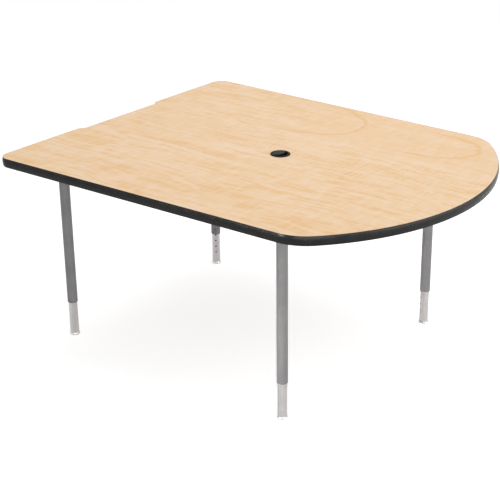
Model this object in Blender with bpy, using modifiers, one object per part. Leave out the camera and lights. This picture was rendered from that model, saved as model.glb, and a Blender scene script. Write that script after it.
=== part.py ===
# Collaboration table with a D-shaped top on four adjustable legs.
# Metres, +Z up. The origin is on the floor, under the middle of the top.
# The flat end of the top lies at -X and the bow at +X.

import math

import bmesh
import bpy
from mathutils import Matrix, Vector

# Running and seating clearances
SEAT_GAP = 0.0003
RUNNING_GAP = 0.0003

# Top: plan outline
TOP_LENGTH = 1.5240
FLAT_END_WIDTH = 1.2192
BOW_END_WIDTH = 1.1520
CORNER_RADIUS = 0.0508
SHOULDER_RADIUS = 0.1580
BOW_RADIUS = 0.7670
RECESS_WIDTH = 0.4000
RECESS_DEPTH = 0.0160
RECESS_BLEND = 0.0340

# Top: heights and layers
TABLE_HEIGHT = 0.7239
TOP_THICKNESS = 0.03175
LAMINATE_THICKNESS = 0.0010
BACKER_THICKNESS = 0.0006

# Edge band: crowned cap and barbed tongue
BAND_CAP = 0.0028
BAND_CROWN = 0.0005
BAND_CORNER_RADIUS = 0.0020
TONGUE_LENGTH = 0.0095
TONGUE_THICKNESS = 0.0010
BARB_RISE = 0.0004
BARB_COUNT = 2
GROOVE_ROOM = 0.0016

# Cable grommet
GROMMET_X = 0.0112
GROMMET_HOLE_RADIUS = 0.0302
FLANGE_OVERLAP = 0.0048
FLANGE_HEIGHT = 0.0034
FLANGE_EDGE_RADIUS = 0.0024
LINER_WALL = 0.0022
LINER_DEPTH = 0.0240
LEDGE_WIDTH = 0.0021
LEDGE_THICKNESS = 0.0016
CAP_THICKNESS = 0.0022
CAP_RIM_WALL = 0.0018
CAP_RIM_DEPTH = 0.0050
CABLE_SLOT_WIDTH = 0.0190
CABLE_SLOT_RADIUS = 0.0340
CABLE_SLOT_BEARING = math.radians(-13.0)

# Legs: how far in they stand from the flat end, the bow's tip and the long edges
FLAT_LEG_FROM_END = 0.1236
FLAT_LEG_FROM_SIDE = 0.1924
BOW_LEG_FROM_TIP = 0.4076
BOW_LEG_FROM_SIDE = 0.1387
HOLE_BEARING = math.radians(53.0)

# Mounting plate and its screws
PLATE_SIDE = 0.1270
PLATE_THICKNESS = 0.0030
PLATE_CORNER_RADIUS = 0.0120
PLATE_SCREW_INSET = 0.0127
PLATE_SCREW_RADIUS = 0.0024
PLATE_SCREW_LENGTH = 0.0190
SCREW_HEAD_OVERHANG = 0.0022
SCREW_HEAD_SLOPE = 0.0018
SCREW_HEAD_HEIGHT = 0.0024
SCREW_POINT_LENGTH = 0.0040

# Leg insert and its row of holes
INSERT_RADIUS = 0.01615
INSERT_WALL = 0.0016
INSERT_LENGTH = 0.3048
INSERT_SHOWING = 0.1215
HOLE_PITCH = 0.0254
HOLE_COUNT = 9
HOLES_BELOW_LOCK = 4

# Leg sleeve, which hangs down over the insert
SLEEVE_PLAY = 0.0007
SLEEVE_WALL = 0.0019
SLEEVE_LIP_RADIUS = 0.0025
LOCK_HOLE_RISE = 0.0234

# Lock screws
LOCK_SCREW_RADIUS = 0.0027
LOCK_SCREW_COUNT = 2
LOCK_SCREW_SUNK = 0.0002
HEX_SOCKET_WALL = 0.0010
HEX_SOCKET_DEPTH = 0.0012

# Levelling glide
GLIDE_HEIGHT = 0.0102
GLIDE_TOP_RIM = 0.00045
GLIDE_FLARE = 0.0018
GLIDE_WALL = 0.0011
PAD_THICKNESS = 0.0040
PAD_SHOWING = 0.0020
PAD_EDGE = 0.0008
STEM_RADIUS = 0.00475
STEM_LENGTH = 0.0420
STEM_TIP = 0.0010
RIVET_COLLAR = 0.00245
RIVET_THICKNESS = 0.0012
PLUG_LENGTH = 0.0220
PLUG_RIB_COUNT = 3
PLUG_RIB_DEPTH = 0.0010

# Facets of round pieces
TUBE_FACETS = 18
GROMMET_FACETS = 28
STEM_FACETS = 12
HOLE_FACETS = 8
SCREW_FACETS = 8
HEX_FACETS = 6
BOW_FACETS = 24
SHOULDER_FACETS = 7
CORNER_FACETS = 6
BLEND_FACETS = 3
SLOT_FACETS = 10
BAND_EDGE_FACETS = 3
EDGE_FACETS = 2

SMOOTH_ANGLE = math.radians(35.0)
MERGE = 0.00001

TOP_UNDERSIDE = TABLE_HEIGHT - TOP_THICKNESS
LAMINATE_LOW = TABLE_HEIGHT - LAMINATE_THICKNESS
CORE_HIGH = LAMINATE_LOW - SEAT_GAP
BACKER_HIGH = TOP_UNDERSIDE + BACKER_THICKNESS
CORE_LOW = BACKER_HIGH + SEAT_GAP
CORE_INSET = BAND_CAP + SEAT_GAP
TOP_MIDDLE = TABLE_HEIGHT - TOP_THICKNESS / 2
BARB_THICKNESS = TONGUE_THICKNESS + 2 * BARB_RISE
GROOVE_INSET = BAND_CAP + TONGUE_LENGTH + GROOVE_ROOM
FLANGE_RADIUS = GROMMET_HOLE_RADIUS + FLANGE_OVERLAP
SCREW_HEAD_RADIUS = PLATE_SCREW_RADIUS + SCREW_HEAD_OVERHANG
PLATE_HIGH = TOP_UNDERSIDE - SEAT_GAP
PLATE_LOW = PLATE_HIGH - PLATE_THICKNESS
SLEEVE_TOP = PLATE_LOW - SEAT_GAP
INSERT_FOOT_Z = GLIDE_HEIGHT + SEAT_GAP
SLEEVE_FOOT_Z = INSERT_FOOT_Z + INSERT_SHOWING
SLEEVE_BORE = INSERT_RADIUS + SLEEVE_PLAY
SLEEVE_RADIUS = SLEEVE_BORE + SLEEVE_WALL
LOWER_LOCK_Z = SLEEVE_FOOT_Z + LOCK_HOLE_RISE
LOWEST_HOLE_Z = LOWER_LOCK_Z - HOLES_BELOW_LOCK * HOLE_PITCH
GLIDE_TOP_RADIUS = INSERT_RADIUS + GLIDE_TOP_RIM
GLIDE_FLARE_RADIUS = GLIDE_TOP_RADIUS + GLIDE_FLARE
PAD_RADIUS = GLIDE_FLARE_RADIUS - GLIDE_WALL - SEAT_GAP
RIVET_RADIUS = STEM_RADIUS + RIVET_COLLAR
HEX_SOCKET_RADIUS = LOCK_SCREW_RADIUS - HEX_SOCKET_WALL
HOLE_RADIUS = LOCK_SCREW_RADIUS + RUNNING_GAP


def half_width(x):
    """How far the straight long edges lie from the middle, at a distance along the top."""
    along = (x + TOP_LENGTH / 2) / TOP_LENGTH
    return (FLAT_END_WIDTH + (BOW_END_WIDTH - FLAT_END_WIDTH) * along) / 2


FLAT_LEG_X = FLAT_LEG_FROM_END - TOP_LENGTH / 2
FLAT_LEG_Y = half_width(FLAT_LEG_X) - FLAT_LEG_FROM_SIDE
BOW_LEG_X = TOP_LENGTH / 2 - BOW_LEG_FROM_TIP
BOW_LEG_Y = half_width(BOW_LEG_X) - BOW_LEG_FROM_SIDE

LEGS = {
    "flat_left": (FLAT_LEG_X, FLAT_LEG_Y, -HOLE_BEARING),
    "flat_right": (FLAT_LEG_X, -FLAT_LEG_Y, HOLE_BEARING),
    "bow_left": (BOW_LEG_X, BOW_LEG_Y, HOLE_BEARING - math.pi),
    "bow_right": (BOW_LEG_X, -BOW_LEG_Y, math.pi - HOLE_BEARING),
}


def clear_scene():
    for item in list(bpy.data.objects):
        bpy.data.objects.remove(item, do_unlink=True)


def make_collection(name):
    collection = bpy.data.collections.new(name)
    bpy.context.scene.collection.children.link(collection)
    return collection


def principled(name, colour, roughness, metallic):
    material = bpy.data.materials.new(name)
    material.use_nodes = True
    shader = material.node_tree.nodes["Principled BSDF"]
    shader.inputs["Base Color"].default_value = (*colour, 1.0)
    shader.inputs["Roughness"].default_value = roughness
    shader.inputs["Metallic"].default_value = metallic
    return material


def finish(item, collection, colour, roughness, metallic):
    """Give a finished sub-part its material, its shading and its collection."""
    item.data.materials.clear()
    item.data.materials.append(principled(item.name, colour, roughness, metallic))
    item.data.shade_smooth()
    item.data.set_sharp_from_angle(angle=SMOOTH_ANGLE)
    for old in list(item.users_collection):
        old.objects.unlink(item)
    collection.objects.link(item)
    return item


def finished_mesh(item, colour, roughness, metallic):
    """The shaded mesh of a pattern, its cuts made, to be placed several times."""
    solid = mesh_from(item)
    mesh = solid.data
    mesh.transform(solid.matrix_world)
    bpy.data.objects.remove(solid, do_unlink=True)
    mesh.materials.clear()
    mesh.materials.append(principled(mesh.name, colour, roughness, metallic))
    mesh.shade_smooth()
    mesh.set_sharp_from_angle(angle=SMOOTH_ANGLE)
    return mesh


def mesh_from(item):
    """The evaluated mesh of an object, welded, as a new object in its place."""
    bpy.context.view_layer.update()
    graph = bpy.context.evaluated_depsgraph_get()
    mesh = bpy.data.meshes.new_from_object(item.evaluated_get(graph))
    name = item.name
    place = item.matrix_world.copy()
    weld(mesh)
    bpy.data.objects.remove(item, do_unlink=True)
    solid = bpy.data.objects.new(name, mesh)
    bpy.context.scene.collection.objects.link(solid)
    solid.matrix_world = place
    return solid


def weld(mesh):
    model = bmesh.new()
    model.from_mesh(mesh)
    bmesh.ops.remove_doubles(model, verts=model.verts, dist=MERGE)
    bmesh.ops.recalc_face_normals(model, faces=model.faces)
    model.to_mesh(mesh)
    model.free()


def closed_curve(name, points):
    """A flat closed curve through the points, in the XY plane."""
    curve = bpy.data.curves.new(name, "CURVE")
    curve.dimensions = "2D"
    spline = curve.splines.new("POLY")
    spline.points.add(len(points) - 1)
    for knot, (x, y) in zip(spline.points, points):
        knot.co = (x, y, 0.0, 1.0)
    spline.use_cyclic_u = True
    item = bpy.data.objects.new(name, curve)
    bpy.context.scene.collection.objects.link(item)
    return item


def sheet(name, points, low, high):
    """A flat outline with the thickness between two heights."""
    item = closed_curve(name, points)
    item.data.fill_mode = "BOTH"
    item.data.extrude = (high - low) / 2
    item.location = (0.0, 0.0, (low + high) / 2)
    return mesh_from(item)


def swept(name, path, section, height):
    """A closed section carried round a closed outline at one height."""
    rail = closed_curve(name, path)
    profile = closed_curve(name + "_section", section)
    rail.data.bevel_mode = "OBJECT"
    rail.data.bevel_object = profile
    rail.location = (0.0, 0.0, height)
    solid = mesh_from(rail)
    bpy.data.objects.remove(profile, do_unlink=True)
    return solid


def turned(name, profile, facets, closed):
    """A profile of (radius, height) points turned about Z."""
    mesh = bpy.data.meshes.new(name)
    points = [(radius, 0.0, height) for radius, height in profile]
    edges = [(i, i + 1) for i in range(len(points) - 1)]
    if closed:
        edges.append((len(points) - 1, 0))
    mesh.from_pydata(points, edges, [])
    item = bpy.data.objects.new(name, mesh)
    bpy.context.scene.collection.objects.link(item)
    screw = item.modifiers.new("turn", "SCREW")
    screw.axis = "Z"
    screw.steps = facets
    screw.render_steps = facets
    screw.use_merge_vertices = True
    screw.merge_threshold = MERGE
    return mesh_from(item)


def rod(name, radius, length, facets):
    """A plain cylinder that starts at its origin and runs along +Z."""
    model = bmesh.new()
    bmesh.ops.create_cone(
        model,
        cap_ends=True,
        segments=facets,
        radius1=radius,
        radius2=radius,
        depth=length,
        matrix=Matrix.Translation((0.0, 0.0, length / 2)),
    )
    mesh = bpy.data.meshes.new(name)
    model.to_mesh(mesh)
    model.free()
    item = bpy.data.objects.new(name, mesh)
    bpy.context.scene.collection.objects.link(item)
    return item


def group(name, pattern, places):
    """Copies of one solid at several places, as one object of separate bodies."""
    model = bmesh.new()
    for place in places:
        piece = pattern.data.copy()
        piece.transform(place)
        model.from_mesh(piece)
        bpy.data.meshes.remove(piece)
    mesh = bpy.data.meshes.new(name)
    model.to_mesh(mesh)
    model.free()
    bpy.data.objects.remove(pattern, do_unlink=True)
    item = bpy.data.objects.new(name, mesh)
    bpy.context.scene.collection.objects.link(item)
    return item


def cut(item, cutter, cutters):
    """Take a cutter out of a solid, and put the cutter with the others."""
    boolean = item.modifiers.new("cut_" + cutter.name, "BOOLEAN")
    boolean.operation = "DIFFERENCE"
    boolean.solver = "EXACT"
    boolean.object = cutter
    cutter.hide_render = True
    cutter.display_type = "WIRE"
    for old in list(cutter.users_collection):
        old.objects.unlink(cutter)
    cutters.objects.link(cutter)


def arc(centre, radius, start, end, steps):
    """Points along an arc, both ends included."""
    angles = [start + (end - start) * i / steps for i in range(steps + 1)]
    return [
        (centre[0] + radius * math.cos(a), centre[1] + radius * math.sin(a))
        for a in angles
    ]


def half_outline(inset):
    """The top's edge for y above 0, from the recess to the tip of the bow."""
    end_x = -TOP_LENGTH / 2
    draw_in = (FLAT_END_WIDTH - BOW_END_WIDTH) / 2
    slope = math.atan2(draw_in, TOP_LENGTH)
    normal = Vector((math.sin(slope), math.cos(slope)))
    side = normal.dot(Vector((end_x, FLAT_END_WIDTH / 2)))

    blend_radius = (RECESS_BLEND**2 + RECESS_DEPTH**2) / (4 * RECESS_DEPTH)
    turn = 2 * math.atan2(RECESS_DEPTH, RECESS_BLEND)
    inner = (end_x + RECESS_DEPTH - blend_radius, (RECESS_WIDTH - RECESS_BLEND) / 2)
    outer = (end_x + blend_radius, (RECESS_WIDTH + RECESS_BLEND) / 2)
    points = arc(inner, blend_radius + inset, 0.0, turn, BLEND_FACETS)
    points += arc(outer, blend_radius - inset, math.pi + turn, math.pi, BLEND_FACETS)[1:]

    corner_x = end_x + CORNER_RADIUS
    corner_y = (side - CORNER_RADIUS - normal.x * corner_x) / normal.y
    side_angle = math.pi / 2 - slope
    corner = (corner_x, corner_y)
    points += arc(corner, CORNER_RADIUS - inset, math.pi, side_angle, CORNER_FACETS)

    bow_x = TOP_LENGTH / 2 - BOW_RADIUS
    reach = BOW_RADIUS - SHOULDER_RADIUS
    offset = side - SHOULDER_RADIUS - normal.x * bow_x
    along = math.sqrt(reach**2 - offset**2)
    shoulder = (
        bow_x + normal.x * offset + normal.y * along,
        normal.y * offset - normal.x * along,
    )
    meet = math.atan2(shoulder[1], shoulder[0] - bow_x)
    points += arc(shoulder, SHOULDER_RADIUS - inset, side_angle, meet, SHOULDER_FACETS)
    points += arc((bow_x, 0.0), BOW_RADIUS - inset, meet, 0.0, BOW_FACETS // 2)[1:]
    return points


def top_outline(inset):
    """The whole edge of the top, moved in by the inset, clockwise from above."""
    upper = half_outline(inset)
    lower = [(x, -y) for x, y in reversed(upper[:-1])]
    return upper + lower


def rounded_square(side, radius):
    half = side / 2 - radius
    points = []
    for quarter in range(4):
        start = math.pi / 2 * quarter
        centre = (
            half * math.copysign(1.0, math.cos(start + math.pi / 4)),
            half * math.copysign(1.0, math.sin(start + math.pi / 4)),
        )
        points += arc(centre, radius, start, start + math.pi / 2, EDGE_FACETS)
    return points


def band_section():
    """The edge band's section: inward distance and height from the mid-line."""
    half = TOP_THICKNESS / 2
    rounding = min(BAND_CORNER_RADIUS, BAND_CAP - BAND_CROWN)
    low_round = arc(
        (BAND_CROWN + rounding, rounding - half),
        rounding,
        math.pi * 1.5,
        math.pi,
        BAND_EDGE_FACETS,
    )
    high_round = [(x, -y) for x, y in reversed(low_round)]
    upper_tongue = [(BAND_CAP, TONGUE_THICKNESS / 2)]
    for barb in range(BARB_COUNT):
        start = BAND_CAP + TONGUE_LENGTH * (barb + 0.5) / BARB_COUNT
        end = BAND_CAP + TONGUE_LENGTH * (barb + 1.0) / BARB_COUNT
        upper_tongue.append((start, TONGUE_THICKNESS / 2))
        upper_tongue.append((start, BARB_THICKNESS / 2))
        upper_tongue.append((end, TONGUE_THICKNESS / 2))
    lower_tongue = [(x, -y) for x, y in reversed(upper_tongue)]
    cap = [(BAND_CAP, -half)] + low_round + [(0.0, 0.0)] + high_round + [(BAND_CAP, half)]
    return cap + upper_tongue + lower_tongue


def make_top(parts, cutters):
    outline = top_outline(0.0)
    band = swept("edge_band", outline, band_section(), TOP_MIDDLE)
    finish(band, parts, (0.030, 0.029, 0.027), 0.45, 0.0)

    groove_high = BARB_THICKNESS / 2 + SEAT_GAP
    groove_section = [
        (0.0, -groove_high),
        (0.0, groove_high),
        (GROOVE_INSET, groove_high),
        (GROOVE_INSET, -groove_high),
    ]
    groove = swept("groove_cutter", outline, groove_section, TOP_MIDDLE)

    inner_outline = top_outline(CORE_INSET)
    core = sheet("top_core", inner_outline, CORE_LOW, CORE_HIGH)
    laminate = sheet("top_laminate", inner_outline, LAMINATE_LOW, TABLE_HEIGHT)
    backer = sheet("backer_sheet", inner_outline, TOP_UNDERSIDE, BACKER_HIGH)

    cable_hole = rod("cable_hole_cutter", GROMMET_HOLE_RADIUS, 2 * TOP_THICKNESS, GROMMET_FACETS)
    cable_hole.location = (GROMMET_X, 0.0, TOP_UNDERSIDE - TOP_THICKNESS / 2)

    pilot = rod(
        "pilot_hole",
        PLATE_SCREW_RADIUS + SEAT_GAP,
        PLATE_SCREW_LENGTH,
        SCREW_FACETS,
    )
    places = []
    for leg_x, leg_y, _ in LEGS.values():
        for screw_x, screw_y in plate_screw_places():
            spot = (leg_x + screw_x, leg_y + screw_y, PLATE_HIGH)
            places.append(Matrix.Translation(spot))
    pilots = group("pilot_hole_cutter", pilot, places)

    for layer in (core, laminate, backer):
        cut(layer, cable_hole, cutters)
    for layer in (core, backer):
        cut(layer, pilots, cutters)
    cut(core, groove, cutters)
    finish(core, parts, (0.42, 0.31, 0.20), 0.9, 0.0)
    finish(laminate, parts, (0.86, 0.62, 0.41), 0.35, 0.0)
    finish(backer, parts, (0.16, 0.12, 0.09), 0.7, 0.0)


def make_grommet(parts, cutters):
    skirt = GROMMET_HOLE_RADIUS - RUNNING_GAP
    bore = skirt - LINER_WALL
    ledge = bore - LEDGE_WIDTH
    low = TABLE_HEIGHT + SEAT_GAP
    high = low + FLANGE_HEIGHT
    cap_low = high - SEAT_GAP - CAP_THICKNESS
    ledge_high = cap_low - SEAT_GAP
    edge = min(FLANGE_EDGE_RADIUS, FLANGE_HEIGHT)
    edge_centre = (FLANGE_RADIUS - edge, high - edge)
    profile = arc(edge_centre, edge, math.pi / 2, 0.0, EDGE_FACETS) + [
        (FLANGE_RADIUS, low),
        (skirt, low),
        (skirt, low - LINER_DEPTH),
        (bore, low - LINER_DEPTH),
        (bore, ledge_high - LEDGE_THICKNESS),
        (ledge, ledge_high - LEDGE_THICKNESS),
        (ledge, ledge_high),
        (bore, ledge_high),
        (bore, high),
    ]
    liner = turned("grommet_liner", profile, GROMMET_FACETS, True)
    liner.location = (GROMMET_X, 0.0, 0.0)
    finish(liner, parts, (0.020, 0.020, 0.020), 0.4, 0.0)

    disc = bore - RUNNING_GAP
    rim = ledge - RUNNING_GAP
    rim_low = cap_low - CAP_RIM_DEPTH
    profile = [
        (0.0, cap_low + CAP_THICKNESS),
        (disc, cap_low + CAP_THICKNESS),
        (disc, cap_low),
        (rim, cap_low),
        (rim, rim_low),
        (rim - CAP_RIM_WALL, rim_low),
        (rim - CAP_RIM_WALL, cap_low),
        (0.0, cap_low),
    ]
    cap = turned("grommet_cap", profile, GROMMET_FACETS, False)
    cap.location = (GROMMET_X, 0.0, 0.0)

    slot_depth = CAP_THICKNESS + CAP_RIM_DEPTH
    slot = slot_cutter(disc, cap_low + CAP_THICKNESS - 2 * slot_depth, 3 * slot_depth)
    cut(cap, slot, cutters)
    finish(cap, parts, (0.060, 0.062, 0.063), 0.5, 0.0)


def slot_cutter(disc, low, height):
    """The crescent between the cap's rim and one shallow arc across the cap."""
    centre_x = disc - CABLE_SLOT_WIDTH - CABLE_SLOT_RADIUS
    half_angle = math.asin(disc / CABLE_SLOT_RADIUS)
    inner = arc((centre_x, 0.0), CABLE_SLOT_RADIUS, -half_angle, half_angle, SLOT_FACETS)
    reach = 2 * disc
    points = inner + [(reach, reach), (reach, -reach)]
    slot = sheet("cable_slot_cutter", points, low, low + height)
    turn = Matrix.Rotation(CABLE_SLOT_BEARING, 4, "Z")
    slot.matrix_world = Matrix.Translation((GROMMET_X, 0.0, 0.0)) @ turn @ slot.matrix_world
    return slot


def plate_screw_places():
    reach = PLATE_SIDE / 2 - PLATE_SCREW_INSET
    return [(reach, reach), (-reach, reach), (-reach, -reach), (reach, -reach)]


def outward(height, distance):
    """Lays what runs along +Z so that it runs out along +X at a height."""
    turn = Matrix.Rotation(math.pi / 2, 4, "Y")
    return Matrix.Translation((distance, 0.0, height)) @ turn


def lock_heights():
    return [LOWER_LOCK_Z + i * HOLE_PITCH for i in range(LOCK_SCREW_COUNT)]


def placed(mesh, name, parent, collection, place=(0.0, 0.0, 0.0), turn=(0.0, 0.0, 0.0)):
    """One more object that shares a finished mesh."""
    item = bpy.data.objects.new(name, mesh)
    item.location = place
    item.rotation_euler = turn
    item.parent = parent
    collection.objects.link(item)
    return item


def plate_mesh(cutters):
    plate = sheet(
        "mount_plate",
        rounded_square(PLATE_SIDE, PLATE_CORNER_RADIUS),
        PLATE_LOW,
        PLATE_HIGH,
    )
    hole = rod("plate_hole", PLATE_SCREW_RADIUS + SEAT_GAP, 3 * PLATE_THICKNESS, SCREW_FACETS)
    places = [
        Matrix.Translation((x, y, PLATE_LOW - PLATE_THICKNESS))
        for x, y in plate_screw_places()
    ]
    cut(plate, group("plate_hole_cutter", hole, places), cutters)
    return finished_mesh(plate, (0.18, 0.18, 0.18), 0.45, 0.3)


def plate_screw_mesh():
    """A pan-head wood screw, its seat at the origin and its point along +Z."""
    profile = [
        (0.0, PLATE_SCREW_LENGTH),
        (PLATE_SCREW_RADIUS, PLATE_SCREW_LENGTH - SCREW_POINT_LENGTH),
        (PLATE_SCREW_RADIUS, 0.0),
        (SCREW_HEAD_RADIUS, 0.0),
        (SCREW_HEAD_RADIUS, -SCREW_HEAD_HEIGHT / 2),
        (SCREW_HEAD_RADIUS - SCREW_HEAD_SLOPE, -SCREW_HEAD_HEIGHT),
        (0.0, -SCREW_HEAD_HEIGHT),
    ]
    screw = turned("plate_screw", profile, SCREW_FACETS, False)
    return finished_mesh(screw, (0.55, 0.52, 0.45), 0.35, 0.9)


def sleeve_mesh(cutters):
    lip_bore = INSERT_RADIUS + RUNNING_GAP
    lip_centre = (SLEEVE_RADIUS - SLEEVE_LIP_RADIUS, SLEEVE_FOOT_Z + SLEEVE_LIP_RADIUS)
    profile = [(SLEEVE_RADIUS, SLEEVE_TOP)]
    profile += arc(lip_centre, SLEEVE_LIP_RADIUS, 0.0, -math.pi / 2, EDGE_FACETS)[:-1]
    profile += [
        (lip_bore, SLEEVE_FOOT_Z),
        (lip_bore, SLEEVE_FOOT_Z + SLEEVE_WALL / 2),
        (SLEEVE_BORE, SLEEVE_FOOT_Z + SLEEVE_WALL),
        (SLEEVE_BORE, SLEEVE_TOP),
    ]
    sleeve = turned("sleeve", profile, TUBE_FACETS, True)
    hole = rod("lock_hole", HOLE_RADIUS, 2 * SLEEVE_RADIUS, HOLE_FACETS)
    places = [outward(height, 0.0) for height in lock_heights()]
    cut(sleeve, group("lock_hole_cutter", hole, places), cutters)
    return finished_mesh(sleeve, (0.21, 0.20, 0.20), 0.42, 0.35)


def lock_screw_mesh(cutters):
    """A socket set screw that starts at the origin and runs along +Z."""
    length = SLEEVE_RADIUS - LOCK_SCREW_SUNK - INSERT_RADIUS - RUNNING_GAP
    screw = rod("lock_screw", LOCK_SCREW_RADIUS, length, HOLE_FACETS)
    socket = rod("hex_socket_cutter", HEX_SOCKET_RADIUS, 2 * HEX_SOCKET_DEPTH, HEX_FACETS)
    socket.location = (0.0, 0.0, length - HEX_SOCKET_DEPTH)
    cut(screw, socket, cutters)
    return finished_mesh(screw, (0.02, 0.02, 0.02), 0.5, 0.6)


def insert_mesh(cutters):
    bore = INSERT_RADIUS - INSERT_WALL
    top = INSERT_FOOT_Z + INSERT_LENGTH
    profile = [
        (INSERT_RADIUS, top),
        (INSERT_RADIUS, INSERT_FOOT_Z),
        (bore, INSERT_FOOT_Z),
        (bore, top),
    ]
    insert = turned("insert", profile, TUBE_FACETS, True)
    hole = rod("height_hole", HOLE_RADIUS, 2 * INSERT_RADIUS, HOLE_FACETS)
    places = [outward(LOWEST_HOLE_Z + i * HOLE_PITCH, 0.0) for i in range(HOLE_COUNT)]
    cut(insert, group("height_hole_cutter", hole, places), cutters)
    return finished_mesh(insert, (0.62, 0.60, 0.60), 0.18, 1.0)


def plug_mesh():
    """The ribbed plug, threaded for the stem, pressed into the insert's foot."""
    radius = INSERT_RADIUS - INSERT_WALL - SEAT_GAP
    core = radius - PLUG_RIB_DEPTH
    thread = STEM_RADIUS + RUNNING_GAP
    low = INSERT_FOOT_Z
    high = low + PLUG_LENGTH
    rib_pitch = PLUG_LENGTH / PLUG_RIB_COUNT
    profile = [(core, high)]
    for rib in range(PLUG_RIB_COUNT):
        rib_top = high - rib * rib_pitch - rib_pitch / 3
        profile += [(radius, rib_top), (core, rib_top - rib_pitch / 2)]
    profile += [(core, low), (thread, low), (thread, high)]
    plug = turned("insert_plug", profile, STEM_FACETS, True)
    return finished_mesh(plug, (0.05, 0.05, 0.05), 0.6, 0.0)


def glide_base_mesh():
    base_low = PAD_SHOWING
    pad_recess = PAD_RADIUS + SEAT_GAP
    recess_roof = PAD_THICKNESS + SEAT_GAP
    pocket = RIVET_RADIUS + SEAT_GAP
    pocket_roof = recess_roof + RIVET_THICKNESS + SEAT_GAP
    stem_hole = STEM_RADIUS + SEAT_GAP
    profile = [
        (GLIDE_TOP_RADIUS, GLIDE_HEIGHT),
        ((GLIDE_TOP_RADIUS + GLIDE_FLARE_RADIUS) / 2, (GLIDE_HEIGHT + base_low) / 2),
        (GLIDE_FLARE_RADIUS, base_low),
        (pad_recess, base_low),
        (pad_recess, recess_roof),
        (pocket, recess_roof),
        (pocket, pocket_roof),
        (stem_hole, pocket_roof),
        (stem_hole, GLIDE_HEIGHT),
    ]
    base = turned("glide_base", profile, TUBE_FACETS, True)
    return finished_mesh(base, (0.66, 0.65, 0.64), 0.25, 1.0)


def glide_pad_mesh():
    profile = [
        (0.0, PAD_THICKNESS),
        (PAD_RADIUS, PAD_THICKNESS),
        (PAD_RADIUS, PAD_EDGE),
        (PAD_RADIUS - PAD_EDGE, 0.0),
        (0.0, 0.0),
    ]
    pad = turned("glide_pad", profile, TUBE_FACETS, False)
    return finished_mesh(pad, (0.72, 0.71, 0.69), 0.55, 0.0)


def glide_stem_mesh():
    """The threaded stem, its riveted head held between the base and the pad."""
    head_low = PAD_THICKNESS + SEAT_GAP
    head_high = head_low + RIVET_THICKNESS
    top = head_low + STEM_LENGTH
    profile = [
        (0.0, top),
        (STEM_RADIUS - STEM_TIP, top),
        (STEM_RADIUS, top - STEM_TIP),
        (STEM_RADIUS, head_high),
        (RIVET_RADIUS, head_high),
        (RIVET_RADIUS, head_low),
        (0.0, head_low),
    ]
    stem = turned("glide_stem", profile, STEM_FACETS, False)
    return finished_mesh(stem, (0.55, 0.54, 0.52), 0.3, 1.0)


def make_empty(name, parts, place, parent):
    empty = bpy.data.objects.new(name, None)
    empty.location = place
    empty.parent = parent
    parts.objects.link(empty)
    return empty


def make_legs(parts, cutters):
    """Four alike legs. Each stands on an empty on its axis, which carries the plate
    and sleeve, then an empty for the sliding insert, then one for the glide."""
    plate = plate_mesh(cutters)
    plate_screw = plate_screw_mesh()
    sleeve = sleeve_mesh(cutters)
    lock_screw = lock_screw_mesh(cutters)
    insert = insert_mesh(cutters)
    plug = plug_mesh()
    base = glide_base_mesh()
    pad = glide_pad_mesh()
    stem = glide_stem_mesh()
    screw_seat = PLATE_LOW - SEAT_GAP
    lock_tip = INSERT_RADIUS + RUNNING_GAP

    for leg, (x, y, bearing) in LEGS.items():
        axis = make_empty("leg_axis_" + leg, parts, (x, y, 0.0), None)
        slide = make_empty("insert_slide_" + leg, parts, (0.0, 0.0, 0.0), axis)
        glide = make_empty("glide_slide_" + leg, parts, (0.0, 0.0, 0.0), slide)
        turn = (0.0, 0.0, bearing)

        placed(plate, "mount_plate_" + leg, axis, parts)
        for number, (screw_x, screw_y) in enumerate(plate_screw_places(), 1):
            name = f"plate_screw_{leg}_{number}"
            placed(plate_screw, name, axis, parts, place=(screw_x, screw_y, screw_seat))
        placed(sleeve, "sleeve_" + leg, axis, parts, turn=turn)
        for number, height in enumerate(lock_heights(), 1):
            screw = placed(lock_screw, f"lock_screw_{leg}_{number}", axis, parts)
            screw.matrix_local = Matrix.Rotation(bearing, 4, "Z") @ outward(height, lock_tip)

        placed(insert, "insert_" + leg, slide, parts, turn=turn)
        placed(plug, "insert_plug_" + leg, slide, parts)
        placed(stem, "glide_stem_" + leg, glide, parts)
        placed(base, "glide_base_" + leg, glide, parts)
        placed(pad, "glide_pad_" + leg, glide, parts)


def main():
    clear_scene()
    parts = make_collection("collaboration_table")
    cutters = make_collection("cutters")
    make_top(parts, cutters)
    make_grommet(parts, cutters)
    make_legs(parts, cutters)
    bpy.context.view_layer.update()


main()
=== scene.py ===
from math import atan2, ceil, copysign, cos, exp, hypot, pi, radians, sin, sqrt, tan

import bmesh
import bpy
from mathutils import Matrix, Vector


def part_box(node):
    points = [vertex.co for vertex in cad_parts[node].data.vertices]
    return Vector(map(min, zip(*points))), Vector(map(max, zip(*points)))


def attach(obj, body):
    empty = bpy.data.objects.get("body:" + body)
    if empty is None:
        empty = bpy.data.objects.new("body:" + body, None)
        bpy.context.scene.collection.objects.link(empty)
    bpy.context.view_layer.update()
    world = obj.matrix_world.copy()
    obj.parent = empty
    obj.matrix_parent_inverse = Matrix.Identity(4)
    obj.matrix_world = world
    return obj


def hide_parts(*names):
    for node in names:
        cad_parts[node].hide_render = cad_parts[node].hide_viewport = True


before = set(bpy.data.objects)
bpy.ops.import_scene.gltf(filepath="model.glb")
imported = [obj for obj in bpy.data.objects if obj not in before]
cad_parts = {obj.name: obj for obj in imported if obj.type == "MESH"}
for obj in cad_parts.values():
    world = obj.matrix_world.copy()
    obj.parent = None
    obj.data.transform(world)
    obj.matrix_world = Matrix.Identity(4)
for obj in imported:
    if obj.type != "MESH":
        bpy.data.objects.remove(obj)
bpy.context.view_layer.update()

SCENE = bpy.context.scene
LEGS = ("flat_left", "flat_right", "bow_left", "bow_right")

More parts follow.
